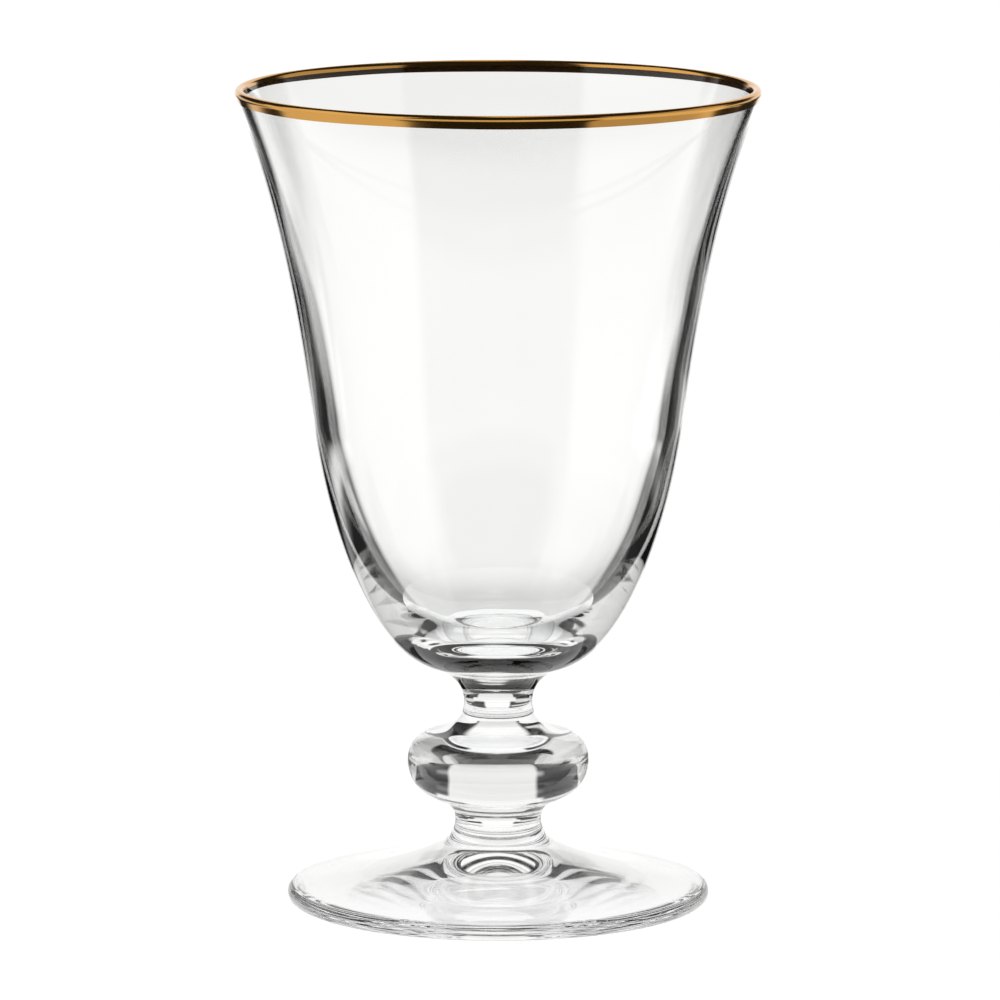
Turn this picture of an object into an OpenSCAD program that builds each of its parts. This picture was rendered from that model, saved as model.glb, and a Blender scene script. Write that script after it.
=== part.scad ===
// Stemmed chalice glass: a flared bowl on a knopped stem and a round foot, with a gold lip.
// Millimetres, +Z up. The origin is on the axis, in the plane that the foot stands on.

/* [Foot] */
// Diameter of the foot
foot_d = 77.5; // [68:0.5:90]
// Height of the foot, up to its seam with the lower stem
foot_h = 10.5; // [9.5:0.1:14]
// Thickness of the rounded edge
foot_edge_t = 3; // [2:0.1:4.5]
// Rise of the top face at the edge, in degrees from level
foot_edge_rise = 5; // [0:0.5:12]
// Width of the flat ring that the glass stands on
ring_w = 2.2; // [0.8:0.1:6]
// Depth of the hollow inside that ring
hollow_h = 6.5; // [3:0.1:7]
// Slope of the hollow where it leaves the ring, in degrees from level
hollow_rise = 7.5; // [4:0.5:10]

/* [Lower stem] */
// Height of the lower stem, from the foot to the knop
lower_stem_h = 8; // [6:0.1:14]
// Diameter of its neck
lower_neck_d = 15.8; // [11:0.1:19]
// Height of the neck above the foot
lower_neck_up = 4.4; // [3:0.1:5]
// Diameter of the seam with the foot
foot_seam_d = 20.6; // [19.5:0.1:26]
// Slope at that seam, in degrees from level
foot_seam_rise = 28; // [15:1:45]

/* [Knop] */
// Diameter of the knop
knop_d = 33.3; // [28:0.1:40]
// Height of the knop, between its two seams
knop_h = 12.9; // [9:0.1:18]
// Height of its widest belt above the lower seam
knop_belt_up = 7.6; // [5:0.1:8.5]
// Diameter of the seam with the lower stem
knop_low_seam_d = 20.6; // [19.5:0.1:25]
// Slope at the lower seam, in degrees from level
knop_low_rise = 23; // [10:1:40]
// Diameter of the seam with the upper stem
knop_top_seam_d = 24.4; // [18:0.1:26]
// Slope at the upper seam, in degrees from level
knop_top_rise = 15; // [8:1:35]

/* [Upper stem] */
// Height of the upper stem, from the knop to the bowl
upper_stem_h = 12.4; // [10:0.1:20]
// Diameter of its neck
upper_neck_d = 12.6; // [9:0.1:16]
// Height of the neck above the knop
upper_neck_up = 5.6; // [4:0.1:7.5]

/* [Bowl] */
// Height of the bowl, from its seam with the stem to the crest of the lip
bowl_h = 106.2; // [90:0.1:130]
// Diameter over the rounded lip
rim_d = 95.5; // [84:0.5:110]
// Diameter at the waist, where the flare turns into the cup
waist_d = 67.2; // [58:0.2:78]
// Height of the waist above the seam
waist_up = 44.4; // [36:0.1:58]
// Diameter of the seam with the upper stem
bowl_seam_d = 25.6; // [18:0.1:30]
// Slope of the underside at that seam, in degrees from level
bowl_seam_rise = 17; // [8:1:35]
// Lean of the wall at the waist, in degrees from upright
waist_lean = 7.5; // [3:0.5:12]
// Lean of the wall at the lip, in degrees from upright
lip_lean = 20.5; // [12:0.5:30]
// Thickness of the lip
lip_t = 1.6; // [1.2:0.1:3]
// Length of the straight stretch of wall below the rounded lip
lip_run = 3; // [2.5:0.1:6]
// Thickness of the wall at the waist
wall_t = 2.7; // [1.6:0.1:4]
// Thickness of the glass between the seam and the middle of the inside floor
base_t = 6.1; // [4:0.1:9]
// Diameter of the inside floor
floor_d = 16.2; // [12:0.2:20]
// Depth of the shallow dish in that floor
floor_dish = 0.4; // [0.2:0.1:1]
// Slope of the floor at its edge, in degrees from level
floor_rise = 4; // [2:0.5:8]

/* [Gold band] */
// Length of gold on the outside, below the rounding of the lip
band_out = 1.2; // [0.4:0.1:2.2]
// Length of gold on the inside, below the rounding of the lip
band_in = 0.4; // [0.2:0.1:2]
// Thickness of the fired gold
band_t = 0.1; // [0.05:0.01:0.3]

/* [Hidden] */
$fn = 128;

glass_color = [0.85, 0.92, 0.93, 0.55];
gold_color = [0.80, 0.57, 0.20];

// Straight pieces along each curve, around the foot's edge, and over the lip
curve_steps = 20;
edge_steps = 12;
lip_steps = 16;

// Seam heights, stacked from the floor up
foot_seam_z = foot_h;
knop_low_z = foot_seam_z + lower_stem_h;
knop_top_z = knop_low_z + knop_h;
bowl_seam_z = knop_top_z + upper_stem_h;
crest_z = bowl_seam_z + bowl_h;

// Stations of the profile, as [radius, height]
foot_seam = [foot_seam_d / 2, foot_seam_z];
lower_neck = [lower_neck_d / 2, foot_seam_z + lower_neck_up];
knop_low_seam = [knop_low_seam_d / 2, knop_low_z];
knop_belt = [knop_d / 2, knop_low_z + knop_belt_up];
knop_top_seam = [knop_top_seam_d / 2, knop_top_z];
upper_neck = [upper_neck_d / 2, knop_top_z + upper_neck_up];
bowl_seam = [bowl_seam_d / 2, bowl_seam_z];
waist = [waist_d / 2, bowl_seam_z + waist_up];
waist_inside = waist - wall_t * heading(-waist_lean);
floor_middle = [0, bowl_seam_z + base_t];
floor_edge = floor_middle + [floor_d / 2, floor_dish];

// Rounded lip: its centre, its two tangent directions, and the way the wall climbs to it
lip_r = lip_t / 2;
lip_centre = [rim_d / 2 - lip_r, crest_z - lip_r];
lip_out_turn = -lip_lean;
lip_in_turn = 180 - lip_lean;
lip_climb = heading(90 - lip_lean);

// How far each curve holds its heading at its start and at its end, as a share of its chord
hollow_pull = [0.20, 0.58];
foot_top_pull = [0.36, 0.24];
lower_flare_pull = [0.24, 0.38];
lower_cup_pull = [0.36, 0.37];
knop_under_pull = [0.40, 0.48];
knop_over_pull = [0.49, 0.29];
upper_flare_pull = [0.48, 0.42];
upper_cup_pull = [0.14, 0.66];
cup_pull = [0.23, 0.37];
flare_pull = [0.33, 0.34];
cup_inside_pull = [0.19, 0.345];
floor_pull = [0.33, 0.33];

function heading(a) = [cos(a), sin(a)];

function arc(centre, r, from, to, steps) =
    [for (i = [0 : steps]) centre + r * heading(from + (to - from) * i / steps)];

function reversed(points) = [for (i = [len(points) - 1 : -1 : 0]) points[i]];

// Points of a smooth curve, after its start p: it leaves p heading to a and meets q heading to b
function curve(p, a, q, b, pull) =
    let (
        chord = norm(q - p),
        p_hold = p + pull[0] * chord * heading(a),
        q_hold = q - pull[1] * chord * heading(b)
    )
    [for (i = [1 : curve_steps])
        let (t = i / curve_steps, s = 1 - t)
        s * s * s * p + 3 * s * s * t * p_hold + 3 * s * t * t * q_hold + t * t * t * q];

// A piece of solid stem: its outside from a lower to an upper seam, closed along the axis
module turned(side) {
    low_z = side[0][1];
    top_z = side[len(side) - 1][1];
    rotate_extrude() polygon(concat([[0, low_z]], side, [[0, top_z]]));
}

// Lip of the glass, or a skin that lies a given distance off it, with a length of wall on each side
function lip_path(off, out_run, in_run) =
    concat(
        [lip_centre + (lip_r + off) * heading(lip_out_turn) - out_run * lip_climb],
        arc(lip_centre, lip_r + off, lip_out_turn, lip_in_turn, lip_steps),
        [lip_centre + (lip_r + off) * heading(lip_in_turn) - in_run * lip_climb]
    );

// Thin plate with a rounded edge that sweeps up to the stem, hollow underneath
module foot() {
    edge_r = foot_edge_t / 2;
    edge_centre = [foot_d / 2 - edge_r, edge_r];
    hollow_roof = [0, hollow_h];
    hollow_rim = [edge_centre[0] - ring_w, 0];
    underside = curve(hollow_roof, 0, hollow_rim, -hollow_rise, hollow_pull);
    edge = arc(edge_centre, edge_r, -90, 90 - foot_edge_rise, edge_steps);
    edge_top = edge[edge_steps];
    top = curve(edge_top, 180 - foot_edge_rise, foot_seam, 180 - foot_seam_rise, foot_top_pull);
    color(glass_color)
        rotate_extrude()
            polygon(concat([hollow_roof], underside, edge, top, [[0, foot_seam_z]]));
}

// Spool between the foot and the knop
module lower_stem() {
    flare = curve(foot_seam, 180 - foot_seam_rise, lower_neck, 90, lower_flare_pull);
    cup = curve(lower_neck, 90, knop_low_seam, knop_low_rise, lower_cup_pull);
    color(glass_color) turned(concat([foot_seam], flare, cup));
}

// Flattened ball in the middle of the stem
module knop() {
    under = curve(knop_low_seam, knop_low_rise, knop_belt, 90, knop_under_pull);
    over = curve(knop_belt, 90, knop_top_seam, 180 - knop_top_rise, knop_over_pull);
    color(glass_color) turned(concat([knop_low_seam], under, over));
}

// Spool between the knop and the bowl
module upper_stem() {
    flare = curve(knop_top_seam, 180 - knop_top_rise, upper_neck, 90, upper_flare_pull);
    cup = curve(upper_neck, 90, bowl_seam, bowl_seam_rise, upper_cup_pull);
    color(glass_color) turned(concat([knop_top_seam], flare, cup));
}

// Blown bell: a rounded cup that draws in at the waist and flares to a rounded lip
module bowl() {
    lip = lip_path(0, lip_run, lip_run);
    lip_start = lip[0];
    lip_end = lip[len(lip) - 1];
    cup = curve(bowl_seam, bowl_seam_rise, waist, 90 - waist_lean, cup_pull);
    flare = curve(waist, 90 - waist_lean, lip_start, 90 - lip_lean, flare_pull);
    flare_inside = curve(lip_end, 270 - lip_lean, waist_inside, 270 - waist_lean, reversed(flare_pull));
    cup_inside = curve(waist_inside, 270 - waist_lean, floor_edge, 180 + floor_rise, cup_inside_pull);
    inside_floor = curve(floor_edge, 180 + floor_rise, floor_middle, 180, floor_pull);
    inside = concat(flare_inside, cup_inside, inside_floor);
    lip_over = [for (i = [1 : len(lip) - 1]) lip[i]];
    color(glass_color)
        rotate_extrude()
            polygon(concat([[0, bowl_seam_z], bowl_seam], cup, flare, lip_over, inside));
}

// Fired gold that wraps the lip, a little further down outside than inside
module rim_band() {
    color(gold_color)
        rotate_extrude()
            polygon(concat(lip_path(0, band_out, band_in), reversed(lip_path(band_t, band_out, band_in))));
}

foot();
lower_stem();
knop();
upper_stem();
bowl();
rim_band();
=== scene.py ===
import math
import bpy
import numpy as np
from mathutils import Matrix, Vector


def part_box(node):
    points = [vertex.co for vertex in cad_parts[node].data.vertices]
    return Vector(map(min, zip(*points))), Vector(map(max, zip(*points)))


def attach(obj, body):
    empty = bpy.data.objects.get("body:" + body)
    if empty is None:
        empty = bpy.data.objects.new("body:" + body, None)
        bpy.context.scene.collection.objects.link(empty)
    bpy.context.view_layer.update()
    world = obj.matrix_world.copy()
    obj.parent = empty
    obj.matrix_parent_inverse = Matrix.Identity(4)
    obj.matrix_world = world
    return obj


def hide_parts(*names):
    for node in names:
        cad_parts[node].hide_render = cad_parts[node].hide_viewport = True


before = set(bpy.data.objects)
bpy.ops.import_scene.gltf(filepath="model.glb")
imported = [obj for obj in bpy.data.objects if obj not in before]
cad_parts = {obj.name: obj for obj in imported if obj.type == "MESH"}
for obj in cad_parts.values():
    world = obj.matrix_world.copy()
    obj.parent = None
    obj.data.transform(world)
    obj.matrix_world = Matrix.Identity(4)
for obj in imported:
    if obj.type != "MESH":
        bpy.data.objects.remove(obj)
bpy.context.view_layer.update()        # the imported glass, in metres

mm = 0.001
scene = bpy.context.scene
around = 256             # points round the axis, on every ring
angle = np.arange(around) * 2 * math.pi / around
poleSize = 1e-9          # a ring smaller than this is a single point


# Small tools for profiles: a point is [radius, height] in mm

fewestSteps = dict(curve=8, line=2)
curveSlack = 1.1         # a curve is about this much longer than its chord


def heading(a):
    return np.array([math.cos(math.radians(a)), math.sin(math.radians(a))])


def arc(centre, r, start, end, steps):
    return [centre + r * heading(start + (end - start) * i / steps) for i in range(steps + 1)]


# a smooth stretch from p, leaving at angle a, to q, arriving at angle b; the start itself is left out
def stretch(p, a, q, b, pull, step):
    chord = np.linalg.norm(q - p)
    pHold, qHold = p + pull[0] * chord * heading(a), q - pull[1] * chord * heading(b)
    count = max(fewestSteps["curve"], round(curveSlack * chord / step))
    points = []
    for i in range(1, count + 1):
        t, s = i / count, 1 - i / count
        points.append(s**3 * p + 3 * s * s * t * pHold + 3 * s * t * t * qHold + t**3 * q)
    return points


def straight(p, q, step):
    count = max(fewestSteps["line"], round(np.linalg.norm(q - p) / step))
    return [p + (q - p) * i / count for i in range(1, count + 1)]


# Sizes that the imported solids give, in mm
def spanOf(node):
    low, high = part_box(node)
    return high.x / mm, low.z / mm, high.z / mm


footR, floorZ, footSeamZ = spanOf("foot")
knopR, knopLowZ, knopTopZ = spanOf("knop")
bowlSeamR, _, bowlSeamZ = spanOf("upper_stem")
_, _, crestZ = spanOf("bowl")
print("frame loaded: foot", round(footR, 2), "knop", round(knopR, 2), "crest", round(crestZ, 2))

# The profile, piece by piece, from the middle of the underside round to the inside bottom of the bowl

foot = dict(edge=3.0, edgeRise=5, edgeSteps=18, ring=2.2, hollow=6.5, hollowRise=7.5, hollowPull=(0.20, 0.58),
            seamR=10.3, seamRise=28, topPull=(0.36, 0.24), step=0.7)


def footProfile():
    edgeR, rise = foot["edge"] / 2, foot["edgeRise"]
    roof, rim = np.array([0, foot["hollow"]]), np.array([footR - edgeR - foot["ring"], 0])
    under = [roof] + stretch(roof, 0, rim, -foot["hollowRise"], foot["hollowPull"], foot["step"])
    edge = arc(np.array([footR - edgeR, edgeR]), edgeR, -90, 90 - rise, foot["edgeSteps"])
    ring = straight(under[-1], edge[0], foot["step"])
    top = stretch(edge[-1], 180 - rise, footSeam, 180 - foot["seamRise"], foot["topPull"], foot["step"])
    return under + ring + edge[1:] + top


lowerStem = dict(neckR=7.9, neckUp=4.4, flarePull=(0.24, 0.38), cupPull=(0.36, 0.37), step=0.3)


def lowerStemProfile():
    neck = np.array([lowerStem["neckR"], footSeamZ + lowerStem["neckUp"]])
    flare = stretch(footSeam, 180 - foot["seamRise"], neck, 90, lowerStem["flarePull"], lowerStem["step"])
    return flare + stretch(neck, 90, knopLowSeam, knop["lowRise"], lowerStem["cupPull"], lowerStem["step"])


knop = dict(lowSeamR=10.3, lowRise=23, topSeamR=12.2, topRise=15, beltUp=7.6,
            underPull=(0.40, 0.48), overPull=(0.49, 0.29), step=0.3)


def knopProfile():
    belt = np.array([knopR, knopLowZ + knop["beltUp"]])
    under = stretch(knopLowSeam, knop["lowRise"], belt, 90, knop["underPull"], knop["step"])
    return under + stretch(belt, 90, knopTopSeam, 180 - knop["topRise"], knop["overPull"], knop["step"])


upperStem = dict(neckR=6.3, neckUp=5.6, flarePull=(0.48, 0.42), cupPull=(0.14, 0.66), step=0.3)


def upperStemProfile():
    neck = np.array([upperStem["neckR"], knopTopZ + upperStem["neckUp"]])
    flare = stretch(knopTopSeam, 180 - knop["topRise"], neck, 90, upperStem["flarePull"], upperStem["step"])
    return flare + stretch(neck, 90, bowlSeam, bowl["seamRise"], upperStem["cupPull"], upperStem["step"])


bowl = dict(seamRise=17, rimR=47.75, waistR=33.6, waistUp=44.4, waistLean=7.5, lipLean=20.5, lip=1.6,
            lipRun=3.0, lipSteps=20, lipStep=0.2, wall=2.7, base=6.1, floorR=8.1, floorRise=4, dish=0.4,
            cupPull=(0.23, 0.37), flarePull=(0.33, 0.34), cupInPull=(0.19, 0.345), floorPull=(0.33, 0.33),
            step=0.8)


def bowlProfile():
    lean, waistLean, floorRise = bowl["lipLean"], bowl["waistLean"], bowl["floorRise"]
    lipR, step = bowl["lip"] / 2, bowl["step"]
    climb = heading(90 - lean)
    lip = arc(np.array([bowl["rimR"] - lipR, crestZ - lipR]), lipR, -lean, 180 - lean, bowl["lipSteps"])
    waist = np.array([bowl["waistR"], bowlSeamZ + bowl["waistUp"]])
    waistIn = waist - bowl["wall"] * heading(-waistLean)
    runOut, runIn = lip[0] - bowl["lipRun"] * climb, lip[-1] - bowl["lipRun"] * climb
    bottom = np.array([0.0, bowlSeamZ + bowl["base"]])
    floorEdge = bottom + np.array([bowl["floorR"], bowl["dish"]])
    outside = stretch(bowlSeam, bowl["seamRise"], waist, 90 - waistLean, bowl["cupPull"], step)
    outside += stretch(waist, 90 - waistLean, runOut, 90 - lean, bowl["flarePull"], step)
    outside += straight(runOut, lip[0], bowl["lipStep"])
    inside = straight(lip[-1], runIn, bowl["lipStep"])
    inside += stretch(runIn, 270 - lean, waistIn, 270 - waistLean, bowl["flarePull"][::-1], step)
    inside += stretch(waistIn, 270 - waistLean, floorEdge, 180 + floorRise, bowl["cupInPull"], step)
    inside += stretch(floorEdge, 180 + floorRise, bottom, 180, bowl["floorPull"], step)
    return outside, lip[1:], inside


footSeam = np.array([foot["seamR"], footSeamZ])
knopLowSeam = np.array([knop["lowSeamR"], knopLowZ])
knopTopSeam = np.array([knop["topSeamR"], knopTopZ])
bowlSeam = np.array([bowlSeamR, bowlSeamZ])

bowlOut, bowlLip, bowlIn = bowlProfile()
runs = [("foot", footProfile()), ("lower_stem", lowerStemProfile()), ("knop", knopProfile()),
        ("upper_stem", upperStemProfile()), ("bowl", bowlOut + bowlLip + bowlIn)]
profile = np.array([p for _, points in runs for p in points])
lastRing, ends = 0, {}
for name, points in runs:
    firstRing = max(lastRing - 1, 0)
    lastRing += len(points)
    ends[name] = (firstRing, lastRing - 1)
lipFirst = ends["bowl"][1] + 1 - len(bowlLip) - len(bowlIn)
lipLast = lipFirst + len(bowlLip) - 1
print("profile:", len(profile), "rings of", around)

# Hand-worked glass is never quite true: slow waves in its skin, one or two hundredths of a mm deep
waves = dict(seed=7, turns=(1, 5), lengths=(18, 60), count=14, outside=0.01, inside=0.015, stem=0.02, foot=0.02,
             blend=12, axisFade=6.0, floorFade=1.5, calm=45)


def waveField(along, rng, turns, lengths, count):
    total = np.zeros((len(along), around))
    for _ in range(count):
        turn = rng.integers(turns[0], turns[1] + 1)
        length, phase, tilt = rng.uniform(*lengths), rng.uniform(0, 2 * math.pi), rng.uniform(-1, 1)
        total += np.cos(turn * angle[None, :] + phase + tilt + 2 * math.pi * along[:, None] / length)
    return total / math.sqrt(count)


def slopes(rings, along):
    turned = np.roll(rings, -1, axis=1) - np.roll(rings, 1, axis=1)
    climbed = np.gradient(rings, along, axis=0)
    n = np.cross(turned, climbed)
    n = n / np.maximum(np.linalg.norm(n, axis=2, keepdims=True), 1e-12)
    n[0], n[-1] = (0, 0, -1), (0, 0, 1)
    return n


def glassSkin():
    along = np.concatenate([[0], np.cumsum(np.linalg.norm(np.diff(profile, axis=0), axis=1))])
    ring = np.stack([np.cos(angle), np.sin(angle)], axis=1)
    rings = np.empty((len(profile), around, 3))
    rings[:, :, :2] = profile[:, None, :1] * ring[None]
    rings[:, :, 2] = profile[:, None, 1]
    rng = np.random.default_rng(waves["seed"])
    field = waveField(along, rng, waves["turns"], waves["lengths"], waves["count"])
    deep = np.full(len(profile), waves["stem"])
    deep[:ends["foot"][1]] = waves["foot"]
    deep[ends["bowl"][0]:] = waves["outside"]
    deep[lipLast:] = waves["inside"]
    spread = 2 * waves["blend"] + 1
    deep = np.convolve(np.pad(deep, waves["blend"], mode="edge"), np.ones(spread) / spread, mode="valid")
    deep *= np.clip(profile[:, 0] / waves["axisFade"], 0, 1)                 # dies out at the axis
    deep *= np.clip((profile[:, 1] - floorZ) / waves["floorFade"], 0, 1)     # and where the foot stands
    deep[:waves["calm"]] = 0                                                 # most of the hollow is left true
    moved = rings + slopes(rings, along) * (field * deep[:, None])[:, :, None]
    return moved * mm, slopes(moved, along), along


skin, skinNormal, skinAlong = glassSkin()


# A closed mesh from a run of rings, with flat caps where it was joined to its neighbours
def ringMesh(name, rings, normals, capLow, capHigh):
    verts, at, faces, mats, loopNormals = [], [], [], [], []
    for r in rings:
        pole = np.ptp(r[:, :2]) < poleSize
        at.append(np.full(around, len(verts)) if pole else np.arange(around) + len(verts))
        verts += [r[0]] if pole else list(r)
    nextOne = np.roll(np.arange(around), -1)
    for i in range(len(rings) - 1):
        for j, k in enumerate(nextOne):
            corners = [(i, j), (i, k), (i + 1, k), (i + 1, j)]
            if at[i][j] == at[i][k]:
                corners.pop(1)
            elif at[i + 1][j] == at[i + 1][k]:
                corners.pop(3)
            faces.append([int(at[a][b]) for a, b in corners])
            loopNormals += [normals[a][b] for a, b in corners]
            mats.append(0)
    for here, i, up in ((capLow, 0, -1), (capHigh, len(rings) - 1, 1)):
        if not here:
            continue
        verts.append(np.array([0, 0, rings[i][:, 2].mean()]))
        for j, k in enumerate(nextOne):
            pair = (j, k) if up > 0 else (k, j)
            faces.append([len(verts) - 1, int(at[i][pair[0]]), int(at[i][pair[1]])])
            loopNormals += [(0, 0, up)] * 3
            mats.append(1)
    mesh = bpy.data.meshes.new(name)
    mesh.from_pydata([tuple(v) for v in verts], [], faces)
    mesh.polygons.foreach_set("material_index", mats)
    mesh.polygons.foreach_set("use_smooth", [True] * len(faces))
    mesh.normals_split_custom_set([tuple(n) for n in loopNormals])
    mesh.update()
    piece = bpy.data.objects.new(name, mesh)
    scene.collection.objects.link(piece)
    return piece


# Materials

def newMaterial(name):
    material = bpy.data.materials.new(name)
    material.use_nodes = True
    nodes = material.node_tree.nodes
    return material, nodes, material.node_tree.links, nodes["Principled BSDF"]


# a colour that drifts between two tones in soft patches; gives back the patches
def driftingTone(nodes, links, shader, low, high, size, detail):
    where = nodes.new("ShaderNodeTexCoord")
    patches = nodes.new("ShaderNodeTexNoise")
    patches.inputs["Scale"].default_value = size
    patches.inputs["Detail"].default_value = detail
    links.new(where.outputs["Object"], patches.inputs["Vector"])
    tone = nodes.new("ShaderNodeMix")
    tone.data_type = "RGBA"
    tone.inputs["A"].default_value = low
    tone.inputs["B"].default_value = high
    links.new(patches.outputs["Fac"], tone.inputs["Factor"])
    links.new(tone.outputs["Result"], shader.inputs["Base Color"])
    return patches.outputs["Fac"]


glassLook = dict(tint=(0.992, 0.996, 0.994, 1), cord=(0.978, 0.986, 0.983, 1), ior=1.52, cordSize=60, cordDetail=2)


# clear, with faint cords of a slightly deeper melt
def clearGlass():
    material, nodes, links, shader = newMaterial("clearGlass")
    driftingTone(nodes, links, shader, glassLook["cord"], glassLook["tint"],
                 glassLook["cordSize"], glassLook["cordDetail"])
    shader.inputs["Roughness"].default_value = 0.0
    shader.inputs["IOR"].default_value = glassLook["ior"]
    shader.inputs["Transmission Weight"].default_value = 1.0
    return material


# glass run into glass: nothing to see
def fusedSeam():
    material, _, _, shader = newMaterial("fusedSeam")
    shader.inputs["Base Color"].default_value = glassLook["tint"]
    shader.inputs["Alpha"].default_value = 0.0
    return material


goldLook = dict(bright=(0.93, 0.51, 0.13, 1), deep=(0.76, 0.37, 0.09, 1), patchSize=90, patchDetail=5,
                patchRange=(0.3, 0.7), smooth=0.07, worn=0.18, under=(0.12, 0.06, 0.02, 1), underRough=0.6)


def firedGold():
    material, nodes, links, shader = newMaterial("firedGold")
    patches = driftingTone(nodes, links, shader, goldLook["deep"], goldLook["bright"],
                           goldLook["patchSize"], goldLook["patchDetail"])
    rough = nodes.new("ShaderNodeMapRange")
    rough.inputs["From Min"].default_value, rough.inputs["From Max"].default_value = goldLook["patchRange"]
    rough.inputs["To Min"].default_value = goldLook["smooth"]
    rough.inputs["To Max"].default_value = goldLook["worn"]
    links.new(patches, rough.inputs["Value"])
    links.new(rough.outputs["Result"], shader.inputs["Roughness"])
    shader.inputs["Metallic"].default_value = 1.0
    return material


# dull where it is fired to the glass
def goldUnderside():
    material, _, _, shader = newMaterial("goldUnderside")
    shader.inputs["Base Color"].default_value = goldLook["under"]
    shader.inputs["Roughness"].default_value = goldLook["underRough"]
    shader.inputs["Metallic"].default_value = 1.0
    return material


glassMaterial, seamMaterial = clearGlass(), fusedSeam()
goldMaterial, underMaterial = firedGold(), goldUnderside()
print("materials ready")

# The five glass pieces, cut from one skin at the joints

for name, (first, last) in ends.items():
    piece = ringMesh("glass_" + name, skin[first:last + 1], skinNormal[first:last + 1],
                     first > 0, last < len(profile) - 1)
    piece.data.materials.append(glassMaterial)
    piece.data.materials.append(seamMaterial)
    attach(piece, "root")
    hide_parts(name)
print("glass pieces made")

# Gold fired over the lip: a film that follows the glass under it, with a hand-banded edge

band = dict(out=1.4, inside=0.4, film=0.03, bite=0.01, steps=40, wander=0.06, turns=(2, 9), lengths=(1, 2),
            count=8, seed=3)


def goldBand():
    rng = np.random.default_rng(band["seed"])
    wander = waveField(np.zeros(1), rng, band["turns"], band["lengths"], band["count"])[0] * band["wander"]
    start = skinAlong[lipFirst] - band["out"] + wander
    end = skinAlong[lipLast] + band["inside"] + wander[::-1]
    steps = band["steps"]
    film, filmNormal = np.empty((steps + 1, around, 3)), np.empty((steps + 1, around, 3))
    for j in range(around):
        at = np.linspace(start[j], end[j], steps + 1)
        for axis in range(3):
            film[:, j, axis] = np.interp(at, skinAlong, skin[:, j, axis])
            filmNormal[:, j, axis] = np.interp(at, skinAlong, skinNormal[:, j, axis])
    outer = film + filmNormal * band["film"] * mm
    inner = film - filmNormal * band["bite"] * mm
    rings = np.concatenate([outer, inner[::-1], outer[:1]])
    normals = np.concatenate([filmNormal, -filmNormal[::-1], filmNormal[:1]])
    piece = ringMesh("gold_band", rings, normals, False, False)
    strip = np.arange(len(piece.data.polygons)) // around
    under = (strip > steps) & (strip <= 2 * steps)
    piece.data.polygons.foreach_set("material_index", under.astype(int).tolist())
    return piece


gold = goldBand()
gold.data.materials.append(goldMaterial)
gold.data.materials.append(underMaterial)
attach(gold, "root")
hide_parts("rim_band")
print("gold band made")

# Stage: a plain pale table, floor and wall, lit from within. The glass shows the table, and the studio beyond it

stageLook = dict(table=0.06, reach=6.0, wall=4.0, floorGlow=0.97, floorTone=0.25, wallGlow=1.0, drop=0.00005,
                 sides=96)


def paleMaterial(name, tone, glow):
    material, _, _, shader = newMaterial(name)
    shader.inputs["Base Color"].default_value = (tone, tone, tone, 1)
    shader.inputs["Roughness"].default_value = 1.0
    shader.inputs["Specular IOR Level"].default_value = 0.0
    shader.inputs["Emission Color"].default_value = (1, 1, 1, 1)
    shader.inputs["Emission Strength"].default_value = glow
    return material


# a disc inside one ring, or a strip between two; a ring is (radius, height) in metres
def stageSheet(name, material, rings, hiddenFrom):
    n = stageLook["sides"]
    turns = [2 * math.pi * i / n for i in range(n)]
    verts = [(r * math.cos(a), r * math.sin(a), z) for r, z in rings for a in turns]
    strip = [(i, n + i, n + (i + 1) % n, (i + 1) % n) for i in range(n)]
    mesh = bpy.data.meshes.new(name)
    mesh.from_pydata(verts, [], strip if len(rings) > 1 else [tuple(range(n))])
    mesh.materials.append(material)
    sheet = bpy.data.objects.new(name, mesh)
    scene.collection.objects.link(sheet)
    for rays in hiddenFrom:
        setattr(sheet, "visible_" + rays, False)


def setStage():
    near, far = (stageLook["table"], -stageLook["drop"]), (stageLook["reach"], -stageLook["drop"])
    top = (stageLook["reach"], stageLook["wall"])
    floorMaterial = paleMaterial("paleFloor", stageLook["floorTone"], stageLook["floorGlow"])
    wallMaterial = paleMaterial("paleWall", 0, stageLook["wallGlow"])
    stageSheet("table", floorMaterial, [near], [])
    stageSheet("floor", floorMaterial, [near, far], ["transmission", "glossy"])
    stageSheet("wall", wallMaterial, [far, top], ["transmission", "glossy", "diffuse", "shadow"])


setStage()

# Studio: bright cards and dark gaps all round, in degrees; heading 0 is straight behind the glass, 90 to its left

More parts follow.
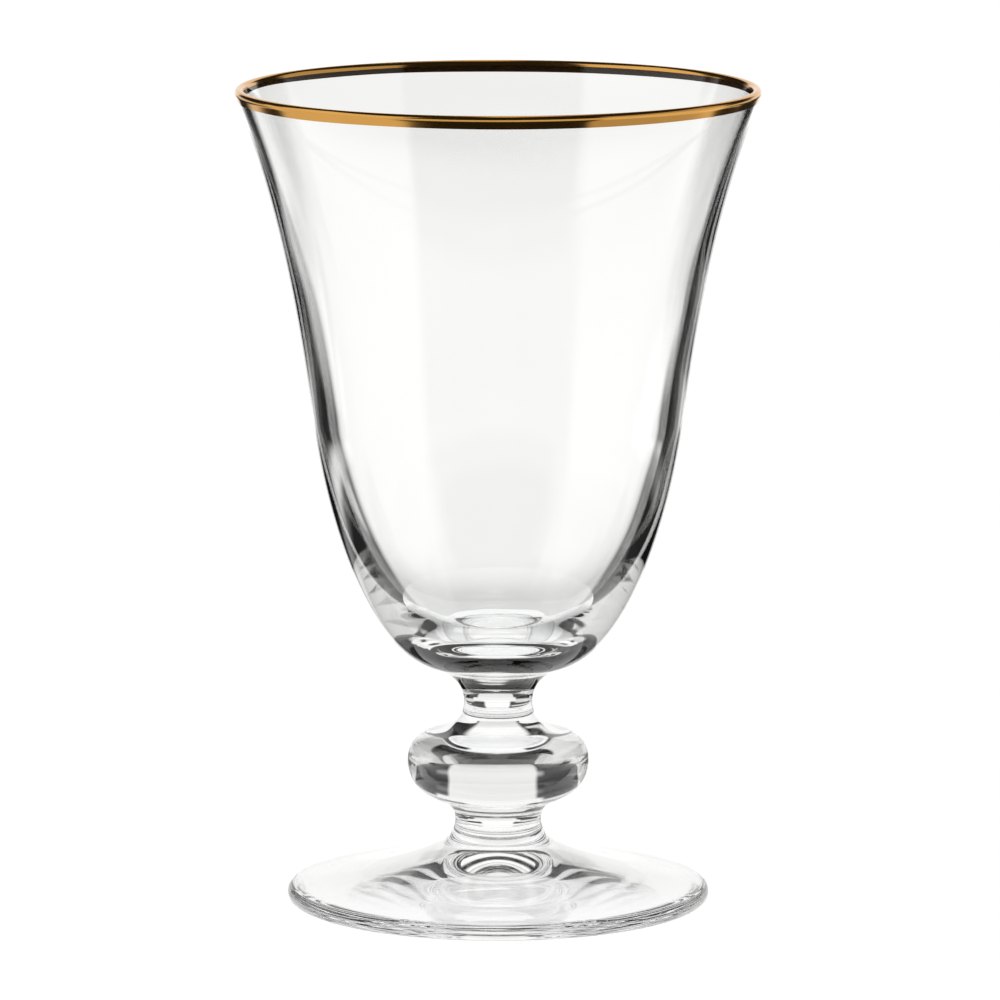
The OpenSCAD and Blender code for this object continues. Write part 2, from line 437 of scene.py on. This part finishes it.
studio = dict(tint=(1.0, 0.992, 0.984, 1), dim=0.02, turn=-60)
cards = [
    dict(name="table behind", heading=-0.5, width=30, low=-60, high=-5, soft=4, fade=6, light=0.76),
    dict(name="far table behind", heading=-1, width=32, low=-24, high=-3, soft=3, fade=14, light=0.3),
    dict(name="horizon behind", heading=-6, width=56, low=-5, high=9.5, soft=4, fade=4, light=0.93),
    dict(name="wall behind", heading=-3.5, width=44, low=9.5, high=30, soft=3, fade=4, light=0.85),
    dict(name="overhead", heading=-6, width=25, low=48.7, high=80, soft=10, fade=4, light=1.05),
    dict(name="left", heading=96, width=72, low=-64, high=3.7, soft=6, fade=4, light=0.75),
    dict(name="left strip", heading=40, width=46, low=-21.3, high=-17, soft=4, fade=3, light=0.8),
    dict(name="right", heading=-96, width=72, low=-30, high=3.7, soft=6, fade=4, light=0.8),
    dict(name="low right", heading=-96, width=72, low=-64, high=-30, soft=6, fade=4, light=0.5),
    dict(name="right strip", heading=-60, width=38, low=-19.5, high=-16.8, soft=4, fade=3, light=1.0),
    dict(name="front", heading=180, width=96, low=-22, high=3.7, soft=6, fade=4, light=0.65),
    dict(name="far left", heading=41, width=38, low=-9, high=3.7, soft=6, fade=4, light=0.7),
    dict(name="far right", heading=-47, width=26, low=-9, high=3.7, soft=6, fade=4, light=0.7),
    dict(name="below", heading=0, width=370, low=-96, high=-64, soft=4, fade=4, light=0.8),
    dict(name="room", heading=177, width=243, low=3.7, high=16, soft=3, fade=4, light=0.79),
    dict(name="high left", heading=101, width=70, low=16, high=50, soft=6, fade=4, light=0.83),
    dict(name="high right", heading=-93, width=75, low=16, high=38, soft=4, fade=4, light=0.48),
]


def studioWorld():
    world = bpy.data.worlds.new("studio")
    scene.world = world
    world.use_nodes = True
    nodes, links = world.node_tree.nodes, world.node_tree.links

    def calc(operation, a, b=0.0, c=0.0):
        node = nodes.new("ShaderNodeMath")
        node.operation = operation
        for socket, value in zip(node.inputs, (a, b, c)):
            if isinstance(value, (int, float)):
                socket.default_value = value
            else:
                links.new(value, socket)
        return node.outputs[0]

    def edge(distance, half, soft):
        node = nodes.new("ShaderNodeMapRange")
        node.interpolation_type = "SMOOTHSTEP"
        node.inputs["From Min"].default_value = half + soft / 2
        node.inputs["From Max"].default_value = half - soft / 2
        links.new(distance, node.inputs["Value"])
        return node.outputs[0]

    where = nodes.new("ShaderNodeTexCoord")
    split = nodes.new("ShaderNodeSeparateXYZ")
    links.new(where.outputs["Generated"], split.inputs[0])
    x, y, z = split.outputs
    turn = calc("MULTIPLY", calc("ARCTAN2", calc("MULTIPLY", x, -1.0), y), 180 / math.pi)
    rise = calc("MULTIPLY", calc("ARCSINE", z), 180 / math.pi)
    total = None
    for card in cards:
        fromCard = calc("SUBTRACT", turn, card["heading"] + studio["turn"])
        aside = calc("ABSOLUTE", calc("WRAP", fromCard, 180.0, -180.0))
        above = calc("ABSOLUTE", calc("SUBTRACT", rise, (card["low"] + card["high"]) / 2))
        shown = calc("MULTIPLY", edge(aside, card["width"] / 2, card["soft"]),
                     edge(above, (card["high"] - card["low"]) / 2, card["fade"]))
        total = calc("MULTIPLY_ADD", shown, card["light"], total if total else studio["dim"])
    background = nodes["Background"]
    background.inputs["Color"].default_value = studio["tint"]
    links.new(total, background.inputs["Strength"])


studioWorld()
print("studio lit")

# Camera, at the photograph's angle; it turns with the studio, so that the sides and back look at pale cards

shot = dict(back=1.43217, up=0.3061, aim=0.07419, lens=285.7, sensor=36, shift=0.0018, near=0.05, far=20)


def setCamera():
    data = bpy.data.cameras.new("camera")
    camera = bpy.data.objects.new("camera", data)
    scene.collection.objects.link(camera)
    data.lens, data.sensor_width, data.shift_x = shot["lens"], shot["sensor"], shot["shift"]
    data.clip_start, data.clip_end = shot["near"], shot["far"]
    side = math.radians(studio["turn"])
    camera.location = (math.sin(side) * shot["back"], -math.cos(side) * shot["back"], shot["up"])
    camera.rotation_euler = (math.pi / 2 - math.atan2(shot["up"] - shot["aim"], shot["back"]), 0, side)
    scene.camera = camera


setCamera()

# Clear glass needs many bounces; plain sRGB keeps the white ground white
scene.cycles.max_bounces = 32
scene.cycles.transmission_bounces = 32
scene.cycles.glossy_bounces = 16
scene.cycles.diffuse_bounces = 3
scene.cycles.transparent_max_bounces = 64
scene.cycles.sample_clamp_indirect = 6
scene.cycles.use_denoising = True
scene.view_settings.view_transform = "Standard"
